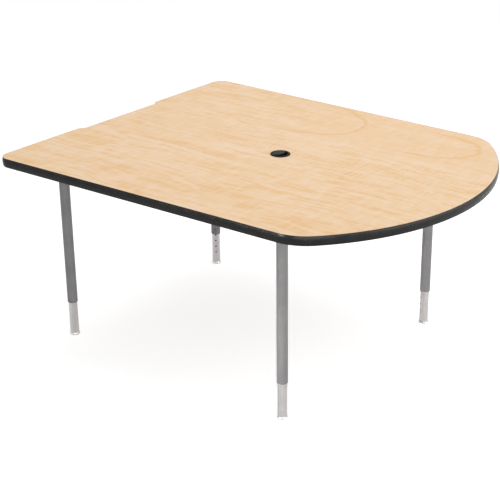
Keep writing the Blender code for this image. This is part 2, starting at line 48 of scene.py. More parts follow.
# Plan outline of the top
TOP_LENGTH = 1.5240
FLAT_END_WIDTH = 1.2192
BOW_END_WIDTH = 1.1520
CORNER_RADIUS = 0.0508
SHOULDER_RADIUS = 0.1580
BOW_RADIUS = 0.7670
RECESS_WIDTH = 0.4000
RECESS_DEPTH = 0.0160
RECESS_BLEND = 0.0340

# Layers of the top and the edge band's section
TOP_THICKNESS = 0.03175
BAND_CAP = 0.0028
BAND_CROWN = 0.0024
BAND_ROLL_HEIGHT = 0.0013
BAND_ROLL_DEPTH = 0.0007
TONGUE_LENGTH = 0.0095
TONGUE_THICKNESS = 0.0010
BARB_RISE = 0.0004
BARB_COUNT = 2
JOINT_LINE = 0.00012
LAMINATE_BEVEL = 0.0004

# The four quarters of a plan, in order about Z
QUARTERS = ((1, 1), (-1, 1), (-1, -1), (1, -1))

# Clearance between pieces that touch
GAP = 0.0003

# Cable grommet
GROMMET_X = 0.0112
TOP_HOLE_RADIUS = 0.0302
FLANGE_RADIUS = 0.0350
FLANGE_HEIGHT = 0.0034
FLANGE_EDGE_RADIUS = 0.0025
FLANGE_INNER_RADIUS = 0.0021
FLANGE_UNDER_EDGE = 0.0002
LEDGE_EDGE = 0.0003
LINER_WALL = 0.0022
LEDGE_WIDTH = 0.0021
LEDGE_THICKNESS = 0.0016
CAP_THICKNESS = 0.0022
CAP_RIM_WALL = 0.0018
CAP_RIM_DEPTH = 0.0050
CABLE_SLOT_WIDTH = 0.0190
CABLE_SLOT_RADIUS = 0.0340
CABLE_SLOT_BEARING = radians(-13.0)
SLOT_UNDERCUT = 0.0060
SLOT_FACETS = 64
MOULDED_EDGE = 0.0004

# Legs
SLEEVE_RADIUS = 0.01875
SLEEVE_WALL = 0.0019
SLEEVE_LIP = 0.0022
SLEEVE_PLAY = 0.0007
INSERT_RADIUS = 0.01615
INSERT_WALL = 0.0016
INSERT_OUTER_EDGE = 0.0004
INSERT_INNER_EDGE = 0.0003
# Depths into an insert's wall over which the painted shade of its bore and holes fades in
BORE_SHADE_FROM = 0.00045
BORE_SHADE_TO = 0.0007
LOCK_COUNT = 2
LOCK_RISE = 0.0234
HOLE_PITCH = 0.0254
HOLE_RADIUS = 0.0030
HOLE_EDGE = 0.00025
HOLE_COUNT = 9
HOLES_BELOW_LOCK = 4
HOLE_BEARING = radians(53.0)
BEARINGS = {
    "flat_left": -HOLE_BEARING,
    "flat_right": HOLE_BEARING,
    "bow_left": HOLE_BEARING - pi,
    "bow_right": pi - HOLE_BEARING,
}
PLATE_SIDE = 0.1270
PLATE_CORNER = 0.0120
PLATE_EDGE = 0.0006
PLATE_SCREW_INSET = 0.0127
PLATE_HOLE_RADIUS = 0.0027
PLATE_HOLE_FACETS = 24
PLATE_DRILL_LENGTH = 0.01
WELD_RADIUS = 0.0024
WELD_RIPPLE = 0.00024
WELD_RIPPLES = 30
WELD_FACETS = 240

# Wood screw: radius, height and edge of its corners from the point, seat at height 0
WOOD_SCREW = (
    (0.0, 0.0190, 0.0),
    (0.0024, 0.0150, 0.0),
    (0.0024, 0.0, 0.0),
    (0.0046, 0.0, 0.0002),
    (0.0046, -0.0012, 0.0006),
    (0.0030, -0.0024, 0.0012),
    (0.0, -0.0024, 0.0),
)
CROSS_SPAN = 0.0050
CROSS_WIDTH = 0.0009
CROSS_TAPER = 0.55
CROSS_MOUTH = -0.0030
CROSS_FLOOR = -0.0007

# Lock screw
LOCK_SCREW_RADIUS = 0.0027
LOCK_SCREW_SUNK = 0.0002
LOCK_SCREW_EDGES = (0.0004, 0.0003)
LOCK_SCREW_FACETS = 36
HEX_RADIUS = 0.0017
HEX_DEPTH = 0.0014
SCREW_MERGE = 0.00001

# Levelling glide
GLIDE_TOP_RADIUS = 0.0166
GLIDE_FLARE_RADIUS = 0.0184
GLIDE_TOP_EDGE = 0.0012
GLIDE_WAIST_DROP = 0.0042
GLIDE_WAIST_EDGE = 0.0040
GLIDE_FLARE_SHARE = 0.3
GLIDE_FLARE_RISE = 0.0026
GLIDE_FOOT_EDGE = 0.0009
GLIDE_BORE_EDGE = 0.0004
PAD_RADIUS = 0.0170
PAD_EDGE = 0.0010
STEM_RADIUS = 0.00475
THREAD_PITCH = 0.0015
THREAD_DEPTH = 0.0009
THREAD_STEEPNESS = 1.6
THREAD_ROWS_PER_TURN = 8
RIVET_RADIUS = 0.0072
RIVET_THICKNESS = 0.0012

# Figure of the maple
ARCHES = (((0.076, 0.400), 0.190, 0.120), ((0.550, 0.400), 0.140, 0.100))
ARCH_WIDTH = 0.0160
ARCH_DRIFT = (0.08, 0.05, 0.0)
QUIET_FROM_Y = (0.12, 0.30)
QUIET_FROM_X = (-0.40, 0.0)
RIPPLE_PITCH = 0.021
RIPPLE_SWAY = 0.05
RIPPLE_BELT_Y = 0.05
RIPPLE_BELT_REACH = (0.30, 0.08)
MAPLE_PALE = (0.900, 0.728, 0.565)
MAPLE_LIGHT = (0.890, 0.650, 0.428)
MAPLE_MIDDLE = (0.870, 0.602, 0.358)
MAPLE_DARK = (0.805, 0.482, 0.190)
LAMINATE_CUT_EDGE = (0.16, 0.075, 0.032)

# Length, width and bend of the maple's broad tones, streaks, lines and pores
MAPLE_GRAINS = (
    (0.60, 0.060, 0.12),
    (0.140, 0.0210, 0.09),
    (0.060, 0.0090, 0.05),
    (0.013, 0.0008, 0.02),
)

# Shares of a noise's range between which a mask fades in
SOFT_TONE = (0.3, 0.7)
NOISE_SHIFT = (0.37, 0.61, 0.43)
GRAIN_SWAY = (0.35, 0.25, 0.25)
DUST_PATCH = 0.05
DUST_LIMIT = 0.82

# Moulded plastics: colour, worn colour, roughness, grain size, grain depth, gloss
MOULDINGS = {
    "black_band": (
        (0.0060, 0.0058, 0.0054), (0.0105, 0.0102, 0.0098), 0.26, 0.0007, 0.00003, 0.24
    ),
    "black_plastic": (
        (0.0045, 0.0047, 0.0050), (0.010, 0.010, 0.010), 0.60, 0.0005, 0.00003, 0.13
    ),
    "grey_black_plastic": (
        (0.027, 0.0273, 0.0283), (0.044, 0.045, 0.046), 0.70, 0.0006, 0.00005, 0.15
    ),
    "black_nylon": ((0.020, 0.020, 0.021), (0.035, 0.035, 0.035), 0.55, 0.0008, 0.00004),
    "pale_nylon": ((0.66, 0.65, 0.63), (0.50, 0.49, 0.46), 0.48, 0.0008, 0.00005),
    "black_screw": ((0.012, 0.012, 0.013), (0.03, 0.03, 0.03), 0.38, 0.0005, 0.00002),
}

# Grey paint: colour and lighter colour
PAINT = ((0.146, 0.1435, 0.1425), (0.174, 0.1705, 0.1695))

# Platings: colour, shade, roughness, and for the tube slide marks, clouds and the near-black
# colour painted into the bore and holes as painted shade
PLATINGS = {
    "plated_steel": (
        (0.83, 0.815, 0.81), (0.60, 0.58, 0.575), 0.12, 0.15, 0.30, (0.045, 0.042, 0.040)
    ),
    "plated_glide": ((0.78, 0.77, 0.76), (0.58, 0.56, 0.55), 0.12),
    "zinc_screw": ((0.60, 0.58, 0.53), (0.40, 0.38, 0.33), 0.30),
}

# Facets of the finished pieces
TUBE_FACETS = 96
HOLE_FACETS = 32
ROD_FACETS = 32
BEAD_FACETS = 10

# Studio
CAMERA_PLACE = (2.62825, -3.46595, 2.21054)
CAMERA_TURN = (radians(65.923), 0.0, radians(36.81))
CAMERA_LENS = 94.762
CAMERA_SHIFT = (-0.0714, 0.0470)

# Lamps: name, place, aim, width, height, watts and spread in degrees
LAMPS = (
    ("overhead", (-0.2, 0.6, 3.8), (0.0, 0.0, 0.6), 3.0, 3.0, 47.0, 180.0),
    ("side_softbox", (4.0, -1.0, 1.5), (0.2, -0.1, 0.5), 3.0, 1.2, 38.0, 180.0),
    ("right_bank", (4.6, 1.6, 1.1), (0.5, 0.0, 0.7), 5.5, 1.8, 84.0, 180.0),
    ("front_bank", (3.9, -5.2, 1.25), (0.2, -0.3, 0.7), 6.0, 2.4, 150.0, 180.0),
    ("left_panel", (-3.2, -3.6, 1.5), (-0.2, -0.3, 0.4), 2.6, 1.4, 10.0, 180.0),
    ("bow_leg_spot", (-0.6, -3.2, 0.45), (0.38, -0.44, 0.16), 0.8, 0.8, 2.0, 20.0),
)
WHITE = (1.0, 1.0, 1.0)
AMBIENT = 0.50
FLOOR_REACH = 14.0
FLOOR_DROP = 0.0002
FLOOR_GREY = (0.86, 0.86, 0.86)
FLOOR_LIFT = 0.52
FLOOR_LIFT_MIRRORED = 0.10


# Meshes
def linked(name, mesh):
    item = bpy.data.objects.new(name, mesh)
    SCENE.collection.objects.link(item)
    return item


def discard(item):
    bpy.data.objects.remove(item, do_unlink=True)


def plain(item):
    """The object with its modifiers worked into its mesh and its place in its points."""
    bpy.context.view_layer.update()
    graph = bpy.context.evaluated_depsgraph_get()
    mesh = bpy.data.meshes.new_from_object(item.evaluated_get(graph))
    mesh.transform(item.matrix_world)
    name = item.name
    discard(item)
    mesh.name = name
    return linked(name, mesh)


def mesh_of(name, model):
    """What a model under construction holds, as a mesh."""
    mesh = bpy.data.meshes.new(name)
    model.to_mesh(mesh)
    model.free()
    return mesh


def mended(mesh, near=1e-6):
    """Merges doubles and turns every face outwards."""
    model = bmesh.new()
    model.from_mesh(mesh)
    bmesh.ops.remove_doubles(model, verts=model.verts, dist=near)
    bmesh.ops.recalc_face_normals(model, faces=model.faces)
    model.to_mesh(mesh)
    model.free()


def filleted(corners, steps=5):
    """A closed profile of (x, y, radius) corners as points, each corner rounded."""
    points = []
    for index, (x, y, radius) in enumerate(corners):
        here = Vector((x, y))
        if radius == 0.0:
            points.append(here)
            continue
        before = Vector(corners[index - 1][:2]) - here
        after = Vector(corners[(index + 1) % len(corners)][:2]) - here
        before.normalize()
        after.normalize()
        half = before.angle(after) / 2
        middle = (before + after).normalized() * (radius / sin(half))
        reach = radius / tan(half)
        start = (before * reach - middle).normalized()
        end = (after * reach - middle).normalized()
        for step in range(steps + 1):
            points.append(here + middle + start.slerp(end, step / steps) * radius)
    return [(point.x, point.y) for point in points]


def ring_of(model, reaches, height):
    """Points at one height, evenly about Z, each at its own distance from it."""
    ring = []
    for facet, reach in enumerate(reaches):
        angle = 2 * pi * facet / len(reaches)
        ring.append(model.verts.new((reach * cos(angle), reach * sin(angle), height)))
    return ring


def bridged(model, rings):
    """Faces between each ring and the next. A ring on the axis is one point repeated."""
    for first, second in zip(rings, rings[1:]):
        for facet in range(len(first)):
            after = (facet + 1) % len(first)
            corners = (first[facet], first[after], second[after], second[facet])
            face = list(dict.fromkeys(corners))
            if len(face) > 2:
                model.faces.new(face)


def turned(name, profile, facets, closed=True):
    """A profile of (radius, height) points turned about Z. An open one ends on the axis."""
    model = bmesh.new()
    rings = []
    for radius, height in profile:
        if radius < 1e-7:
            rings.append([model.verts.new((0.0, 0.0, height))] * facets)
        else:
            rings.append(ring_of(model, [radius] * facets, height))
    bridged(model, rings + rings[:1] if closed else rings)
    bmesh.ops.recalc_face_normals(model, faces=model.faces)
    return mesh_of(name, model)


def arc(centre, radius, start, end, steps):
    """Points along part of a circle, both ends among them."""
    x, y = centre
    angles = [start + (end - start) * step / steps for step in range(steps + 1)]
    return [(x + radius * cos(angle), y + radius * sin(angle)) for angle in angles]


def circle(centre, radius, facets):
    return arc(centre, radius, 0.0, 2 * pi, facets)[:-1]


def top_outline(inset):
    """The edge of the top moved in by the inset, all round."""
    end_x = -TOP_LENGTH / 2
    slope = atan2((FLAT_END_WIDTH - BOW_END_WIDTH) / 2, TOP_LENGTH)
    normal = Vector((sin(slope), cos(slope)))
    side = normal.dot(Vector((end_x, FLAT_END_WIDTH / 2)))
    blend = (RECESS_BLEND**2 + RECESS_DEPTH**2) / (4 * RECESS_DEPTH)
    turn = 2 * atan2(RECESS_DEPTH, RECESS_BLEND)
    inner = (end_x + RECESS_DEPTH - blend, (RECESS_WIDTH - RECESS_BLEND) / 2)
    outer = (end_x + blend, (RECESS_WIDTH + RECESS_BLEND) / 2)
    points = arc(inner, blend + inset, 0.0, turn, 12)
    points += arc(outer, blend - inset, pi + turn, pi, 12)[1:]
    corner_x = end_x + CORNER_RADIUS
    corner = (corner_x, (side - CORNER_RADIUS - normal.x * corner_x) / normal.y)
    side_angle = pi / 2 - slope
    points += arc(corner, CORNER_RADIUS - inset, pi, side_angle, 24)
    bow_x = TOP_LENGTH / 2 - BOW_RADIUS
    offset = side - SHOULDER_RADIUS - normal.x * bow_x
    along = sqrt((BOW_RADIUS - SHOULDER_RADIUS) ** 2 - offset**2)
    shoulder = (
        bow_x + normal.x * offset + normal.y * along,
        normal.y * offset - normal.x * along,
    )
    meet = atan2(shoulder[1], shoulder[0] - bow_x)
    points += arc(shoulder, SHOULDER_RADIUS - inset, side_angle, meet, 28)
    points += arc((bow_x, 0.0), BOW_RADIUS - inset, meet, 0.0, 60)[1:]
    return points + [(x, -y) for x, y in reversed(points[:-1])]


def sheet(name, outline, low, high, hole=None, bevel=0.0):
    """A flat outline between two heights, with a round hole, its rims bevelled."""
    curve = bpy.data.curves.new(name, "CURVE")
    curve.dimensions = "2D"
    curve.fill_mode = "BOTH"
    for loop in [outline, circle(*hole, TUBE_FACETS)] if hole else [outline]:
        spline = curve.splines.new("POLY")
        spline.points.add(len(loop) - 1)
        for knot, (x, y) in zip(spline.points, loop):
            knot.co = (x, y, 0.0, 1.0)
        spline.use_cyclic_u = True
    curve.extrude = (high - low) / 2 - bevel
    curve.bevel_depth = bevel
    curve.bevel_resolution = 2
    curve.offset = -bevel
    item = linked(name, curve)
    item.location = (0.0, 0.0, (low + high) / 2)
    item = plain(item)
    mended(item.data)
    return item


def shaded(item, angle=35.0):
    item.data.shade_smooth()
    item.data.set_sharp_from_angle(angle=radians(angle))
    return item


def modified(item, kind, **settings):
    """The object with one modifier worked in."""
    modifier = item.modifiers.new("shape", kind)
    for name, setting in settings.items():
        setattr(modifier, name, setting)
    return plain(item)


def softened(item, width, angle=40.0):
    """Rounds the sharp edges of a mesh a little, as handled edges are."""
    sharp = {"limit_method": "ANGLE", "angle_limit": radians(angle)}
    return modified(item, "BEVEL", width=width, segments=2, use_clamp_overlap=True, **sharp)


def bored(item, cutter, itself=False):
    """Cuts one mesh out of another, and removes the cutter."""
    way = {"operation": "DIFFERENCE", "solver": "EXACT", "use_self": itself}
    item = modified(item, "BOOLEAN", object=cutter, **way)
    discard(cutter)
    return item


def true_round(item, *radii):
    """Gives a bored tube's walls the normals of true cylinders about Z."""
    near = 0.00002
    mesh = item.data
    spots = [vertex.co for vertex in mesh.vertices]
    reach = [hypot(spot.x, spot.y) for spot in spots]
    normals = [(0.0, 0.0, 0.0)] * len(mesh.loops)
    for face in mesh.polygons:
        if abs(face.normal.z) > 0.01:
            continue
        for radius in radii:
            if all(abs(reach[index] - radius) < near for index in face.vertices):
                for loop, index in zip(face.loop_indices, face.vertices):
                    outward = Vector((spots[index].x, spots[index].y, 0.0)).normalized()
                    facing = 1.0 if outward.dot(face.normal) > 0.0 else -1.0
                    normals[loop] = tuple(outward * facing)
    mesh.normals_split_custom_set(normals)


def true_flat(item):
    """Gives the level faces of a sheet level normals, whatever its eased rims do."""
    mesh = item.data
    normals = [(0.0, 0.0, 0.0)] * len(mesh.loops)
    for face in mesh.polygons:
        if abs(face.normal.z) > 0.999:
            for loop in face.loop_indices:
                normals[loop] = (0.0, 0.0, copysign(1.0, face.normal.z))
    mesh.normals_split_custom_set(normals)


def coat(item, finish):
    item.data.materials.clear()
    item.data.materials.append(finish)


def dress(item, finish, body, slot, *nodes):
    """Gives a finished piece its finish, and the body that it rides on."""
    coat(item, finish)
    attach(item, body)
    if nodes:
        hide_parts(*nodes)


def axis_of(node):
    """Where a node's upright axis meets the floor."""
    low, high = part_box(node)
    return (low.x + high.x) / 2, (low.y + high.y) / 2


def copy_at(name, pattern, x, y, turn):
    """A copy of a piece that stands on an upright axis, with its place in its points."""
    mesh = pattern.data.copy()
    mesh.name = name
    mesh.transform(Matrix.Translation((x, y, 0.0)) @ Matrix.Rotation(turn, 4, "Z"))
    return linked(name, mesh)


# Nodes
def feed(node, sockets):
    """Links or fills a node's sockets, each by its name or number."""
    for key, given in sockets.items():
        socket = node.inputs[key]
        if isinstance(given, bpy.types.NodeSocket):
            node.id_data.links.new(given, socket)
        elif socket.type == "RGBA":
            socket.default_value = (*given, 1.0)
        else:
            socket.default_value = given


def add(tree, kind, *numbered, **named):
    """A new node. Names with a capital are its sockets, the others its settings."""
    node = tree.nodes.new(kind)
    sockets = dict(enumerate(numbered))
    for name, given in named.items():
        if name[0].isupper():
            sockets[name.replace("_", " ")] = given
        else:
            setattr(node, name, given)
    feed(node, sockets)
    return node


def made(kind, *numbered, **named):
    """The first output of a new node, in the tree of the sockets that feed it."""
    fed = [*numbered, *named.values()]
    tree = next(given.id_data for given in fed if isinstance(given, bpy.types.NodeSocket))
    return add(tree, kind, *numbered, **named).outputs[0]


def value(operation, *numbers):
    return made("ShaderNodeMath", *numbers, operation=operation)


def times(first, second):
    return value("MULTIPLY", first, second)


def vector(operation, *places):
    return made("ShaderNodeVectorMath", *places, operation=operation)


def combined(**axes):
    return made("ShaderNodeCombineXYZ", **axes)


def parted(place):
    return add(place.id_data, "ShaderNodeSeparateXYZ", place).outputs


def group(name, kind, inputs, outputs):
    """A node group with named sockets, and what its inputs give."""
    tree = bpy.data.node_groups.new(name, kind + "NodeTree")
    for way, sockets in (("INPUT", inputs), ("OUTPUT", outputs)):
        for label, sort in sockets.items():
            tree.interface.new_socket(label, in_out=way, socket_type="NodeSocket" + sort)
    return tree, add(tree, "NodeGroupInput").outputs


# Geometry Nodes
def growth(name, **sizes):
    """A Geometry Nodes group with a mesh, named sizes and a finish."""
    inputs = {"Mesh": "Geometry", **sizes, "Finish": "Material"}
    return group(name, "Geometry", inputs, {"Mesh": "Geometry"})


def delivered(mesh, finish):
    """Realises what a tree made, gives it its finish and puts it out."""
    whole = made("GeometryNodeRealizeInstances", Geometry=mesh)
    coated = made("GeometryNodeSetMaterial", Geometry=whole, Material=finish)
    add(mesh.id_data, "NodeGroupOutput", Mesh=coated)
    return mesh.id_data


def grown(name, mesh, tree, **sizes):
    """Runs a tree on a mesh with its sizes, and keeps what it makes as a plain mesh."""
    item = linked(name, mesh)
    modifier = item.modifiers.new("build", "NODES")
    modifier.node_group = tree
    for socket in tree.interface.items_tree:
        if socket.in_out == "INPUT" and socket.name in sizes:
            modifier[socket.identifier] = sizes[socket.name]
    return plain(item)


def band_tree():
    """Carries a closed section round a closed outline."""
    tree, given = growth("carried_section", Section="Object")
    rail = made("GeometryNodeMeshToCurve", Mesh=given["Mesh"])
    level = made("GeometryNodeSetCurveNormal", Curve=rail, mode="Z_UP")
    section = add(tree, "GeometryNodeObjectInfo", Object=given["Section"]).outputs
    profile = made("GeometryNodeMeshToCurve", Mesh=section["Geometry"])
    swept = made("GeometryNodeCurveToMesh", Curve=level, Profile_Curve=profile)
    return delivered(swept, given["Finish"])


def hole_tree():
    """Cuts a row of round holes, one above the other, through a tube's +X wall."""
    sizes = dict.fromkeys(("First", "Pitch", "Radius", "Reach"), "Float")
    given = growth("row_of_holes", Count="Int", Facets="Int", **sizes)[1]
    half = times(given["Reach"], 0.5)
    row = made(
        "GeometryNodeMeshLine",
        Count=given["Count"],
        Start_Location=combined(X=half, Z=given["First"]),
        Offset=combined(Z=given["Pitch"]),
    )
    drill = made(
        "GeometryNodeMeshCylinder",
        Vertices=given["Facets"],
        Radius=given["Radius"],
        Depth=given["Reach"],
    )
    turn = (0.0, pi / 2, 0.0)
    place = {"Points": row, "Instance": drill, "Rotation": turn}
    drills = made("GeometryNodeInstanceOnPoints", **place)
    solid = made("GeometryNodeRealizeInstances", Geometry=drills)
    meshes = {"Mesh_1": given["Mesh"], "Mesh_2": solid}
    way = {"operation": "DIFFERENCE", "solver": "EXACT"}
    drilled = made("GeometryNodeMeshBoolean", **meshes, **way)
    return delivered(drilled, given["Finish"])


def screw_tree():
    """Sets a screw on every point, turned about its own axis as it was left."""
    tree, given = growth("set_screws", Screw="Object", Lean="Float", Seed="Int")
    screw = add(tree, "GeometryNodeObjectInfo", Object=given["Screw"]).outputs["Geometry"]
    spin = add(tree, "FunctionNodeRandomValue", Seed=given["Seed"], data_type="FLOAT")
    feed(spin, {2: -pi, 3: pi})
    name = {"Name": "bearing", "data_type": "FLOAT"}
    bearing = add(tree, "GeometryNodeInputNamedAttribute", **name).outputs[0]
    own_turn = combined(Z=spin.outputs[1])
    lean = combined(Y=given["Lean"], Z=bearing)
    turns = [made("FunctionNodeEulerToRotation", turn) for turn in (own_turn, lean)]
    both = made("FunctionNodeRotateRotation", *turns, rotation_space="GLOBAL")
    place = {"Points": given["Mesh"], "Instance": screw, "Rotation": both}
    screws = made("GeometryNodeInstanceOnPoints", **place)
    return delivered(screws, given["Finish"])


def weld_tree():
    """Lays a rippled weld bead along the edges that it is given."""
    tree, given = growth("weld_bead", Thickness="Float", Ripples="Int", Ripple="Float")
    rail = made("GeometryNodeMeshToCurve", Mesh=given["Mesh"])
    along = add(tree, "GeometryNodeSplineParameter").outputs["Factor"]
    turns = times(along, given["Ripples"])
    wave = value("SINE", times(turns, 2 * pi))
    swell = value("MULTIPLY_ADD", wave, given["Ripple"], given["Thickness"])
    round_bead = {"Resolution": BEAD_FACETS, "Radius": 1.0}
    bead = add(tree, "GeometryNodeCurvePrimitiveCircle", **round_bead).outputs["Curve"]
    curves = {"Curve": rail, "Profile_Curve": bead}
    swept = made("GeometryNodeCurveToMesh", Scale=swell, **curves)
    return delivered(swept, given["Finish"])


# Shader effects
def effect(name, outputs, **inputs):
    """A shader effect of plain numbers, each input with its usual value."""
    sorts = (dict.fromkeys(labels, "Float") for labels in (inputs, outputs))
    tree, given = group(name, "Shader", *sorts)
    for socket in tree.interface.items_tree:
        if socket.in_out == "INPUT":
            socket.default_value = inputs[socket.name]
    return tree, given


def spot(tree):
    return add(tree, "ShaderNodeTexCoord").outputs["Object"]


def stretched(place, *sizes):
    """The place divided by its size along each axis, or by one size for all three.

    The shift keeps a noise's lattice off the object's own middle lines."""
    size = add(place.id_data, "ShaderNodeCombineXYZ", *(sizes * 3)[:3]).outputs[0]
    return vector("ADD", vector("DIVIDE", place, size), NOISE_SHIFT)


def noise(place, sizes, detail=2.0, roughness=0.5, output=0):
    """A noise whose features have the sizes given."""
    sockets = {"Vector": stretched(place, *sizes), "Scale": 1.0}
    tree = place.id_data
    node = add(tree, "ShaderNodeTexNoise", Detail=detail, Roughness=roughness, **sockets)
    return node.outputs[output]


def between(number, low, high, to_low=0.0, to_high=1.0):
    """Maps a range of a number on another, smoothly and held at its ends."""
    numbers = (number, low, high, to_low, to_high)
    return made("ShaderNodeMapRange", *numbers, interpolation_type="SMOOTHSTEP")


def blended(factor, first, second):
    """One colour over another by a mask."""
    node = add(factor.id_data, "ShaderNodeMix", Factor=factor, data_type="RGBA")
    colours = [key for key, socket in enumerate(node.inputs) if socket.type == "RGBA"]
    feed(node, dict(zip(colours, (first, second))))
    return next(socket for socket in node.outputs if socket.type == "RGBA")


def tinted(mask, amount, colour, tint):
    """A colour with part of a tint over it where the mask is."""
    return blended(times(mask, amount), colour, tint)


def used(tree, effect_group, **sockets):
    """A shader effect placed in a material with its own values."""
    return add(tree, "ShaderNodeGroup", node_tree=effect_group, **sockets).outputs


def grains(tree, **sizes):
    return used(tree, GRAIN, **sizes)["Streaks"]


def finish_of(name, roughness, metallic=0.0, **sockets):
    """A new material, its tree and its Principled shader."""
    material = bpy.data.materials.new(name)
    material.use_nodes = True
    tree = material.node_tree
    shader = tree.nodes["Principled BSDF"]
    named = {label.replace("_", " "): number for label, number in sockets.items()}
    feed(shader, {"Roughness": roughness, "Metallic": metallic, **named})
    return material, tree, shader


def coloured(shader, colour):
    feed(shader, {"Base Color": colour})


def relief(shader, height, depth):
    bump = made("ShaderNodeBump", Height=height, Distance=depth)
    feed(shader, {"Normal": bump})


def skinned(shader, size, patch, depth, low, high):
    """Gives a shader a skin: its relief, and a roughness that wanders with its tone."""
    skin = used(shader.id_data, SKIN, Size=size, Patch=patch)
    relief(shader, skin["Height"], depth)
    feed(shader, {"Roughness": between(skin["Tone"], *SOFT_TONE, low, high)})
    return skin["Tone"]


def make_grain():
    """Long streaks: fine lines within broader ones, bent a little along their way."""
    sizes = {"Length": 0.08, "Width": 0.004, "Depth": 0.004}
    tree, given = effect("grain", ["Streaks"], **sizes, Bend=0.01)
    place = spot(tree)
    sway = value("SUBTRACT", noise(place, GRAIN_SWAY, 1.0), 0.5)
    side = combined(Y=times(sway, given["Bend"]))
    streaks = noise(vector("ADD", place, side), [given[size] for size in sizes])
    add(tree, "NodeGroupOutput", Streaks=streaks)
    return tree


def make_skin():
    """The even small relief of a moulded, painted or pressed surface, and a soft tone."""
    tree, given = effect("skin", ["Height", "Tone"], Size=0.0006, Patch=0.03)
    place = spot(tree)
    height = noise(place, [given["Size"]], 2.0, 0.6)
    tone = noise(place, [given["Patch"]], 3.0, 0.55)
    add(tree, "NodeGroupOutput", Height=height, Tone=tone)
    return tree


def make_dust():
    """Sparse specks and light scuffs."""
    tree, given = effect("dust", ["Specks"], Speck=0.0015, Amount=0.3)
    place = spot(tree)
    cell = noise(place, [given["Speck"]], 4.0, 0.7)
    patch = times(noise(place, [DUST_PATCH]), given["Amount"])
    above = value("SUBTRACT", cell, value("SUBTRACT", DUST_LIMIT, patch))
    add(tree, "NodeGroupOutput", Specks=between(above, 0.0, 0.12))
    return tree


GRAIN = make_grain()
SKIN = make_skin()
DUST = make_dust()


# Finishes
def arch_line(place, tip, spread, taper):
    """One flat-sawn ring: a thin arch whose tip points along +X, its arms levelling out."""
    axes = parted(place)
    across = value("DIVIDE", value("SUBTRACT", axes["Y"], tip[1]), spread)
    share = value("MINIMUM", times(across, across), 0.97)
    left = value("SUBTRACT", 1.0, share)
    behind = times(value("LOGARITHM", left, exp(1.0)), -taper)
    miss = value("SUBTRACT", value("SUBTRACT", tip[0], axes["X"]), behind)
    slope = value("DIVIDE", times(across, 2 * taper / spread), left)
    steep = value("SQRT", value("MULTIPLY_ADD", slope, slope, 1.0))
    apart = value("ABSOLUTE", value("DIVIDE", miss, steep))
    line = between(apart, ARCH_WIDTH, 0.0)
    return times(line, between(share, 0.96, 0.88))


def growth_rings(place):
    """The few rings that show as arches, bent a little from their true line."""
    wander = noise(place, (0.16, 0.09, 1.0), output="Color")
    drift = vector("SUBTRACT", wander, (0.5, 0.5, 0.5))
    bent = vector("MULTIPLY_ADD", drift, ARCH_DRIFT, place)
    return value("MAXIMUM", *(arch_line(bent, *ring) for ring in ARCHES))


def quiet_zone(place):
    """1 where the arches lie, at the far side of the top, which has few streaks."""
    axes = parted(place)
    side = between(axes["Y"], *QUIET_FROM_Y)
    return times(side, between(axes["X"], *QUIET_FROM_X))


def curly_ripples(place, broad):
    """Pale ripples across the grain: evenly spaced in a belt, loose beside it."""
    axes = parted(place)
    sway = value("SUBTRACT", noise(place, (0.15, 0.11, 1.0)), 0.5)
    moved = value("ADD", axes["X"], times(sway, RIPPLE_SWAY))
    phase = times(moved, 2 * pi / RIPPLE_PITCH)
    even = between(value("SINE", phase), -0.2, 1.0)
    patches = between(noise(place, (0.10, 0.055, 1.0)), 0.34, 0.58)
    wander = times(value("SUBTRACT", broad, 0.5), 0.5)
    offset = value("ADD", value("SUBTRACT", axes["Y"], RIPPLE_BELT_Y), wander)
    belt = between(value("ABSOLUTE", offset), *RIPPLE_BELT_REACH)
    flecks = noise(place, (0.026, 0.080, 1.0), 1.0)
    loose = between(flecks, 0.38, 0.70)
    evened = times(times(even, patches), belt)
    return value("MAXIMUM", evened, times(loose, 0.75))


def maple_laminate():
    """Printed maple: broad tones, streaks, fine lines, ripples, two arches and pores."""
    material, tree, shader = finish_of("maple_laminate", 0.44, Specular_IOR_Level=0.30)
    place = spot(tree)
    broad, streaks, lines, pores = (
        grains(tree, Length=length, Width=width, Bend=bend)
        for length, width, bend in MAPLE_GRAINS
    )
    colour = blended(between(broad, 0.36, 0.66), MAPLE_MIDDLE, MAPLE_LIGHT)
    calm = value("MULTIPLY_ADD", quiet_zone(place), -0.42, 0.60)
    for mask, amount, tint in (
        (between(streaks, 0.46, 0.64), calm, MAPLE_DARK),
        (between(lines, 0.50, 0.66), 0.28, MAPLE_DARK),
        (curly_ripples(place, broad), 0.42, MAPLE_PALE),
        (growth_rings(place), 0.62, MAPLE_DARK),
        (between(pores, 0.50, 0.66), 0.34, MAPLE_DARK),
    ):
        colour = tinted(mask, amount, colour, tint)
    facing = parted(add(tree, "ShaderNodeNewGeometry").outputs["Normal"])
    rim = between(facing["Z"], 0.97, 0.80)
    coloured(shader, blended(rim, colour, LAMINATE_CUT_EDGE))
    skinned(shader, 0.00045, 0.12, 0.00003, 0.40, 0.49)
    return material


def moulded(name, colour, worn, roughness, size, depth, gloss=0.5):
    """A moulded plastic: an even small relief, a soft change of tone, light scuffs."""
    material, tree, shader = finish_of(name, roughness, Specular_IOR_Level=gloss)
    tone = skinned(shader, size, 0.04, depth, roughness - 0.05, roughness + 0.06)
    scuffs = used(tree, DUST, Speck=0.0012, Amount=0.22)["Specks"]
    toned = tinted(between(tone, 0.35, 0.7), 0.5, colour, worn)
    coloured(shader, tinted(scuffs, 0.5, toned, worn))
    return material


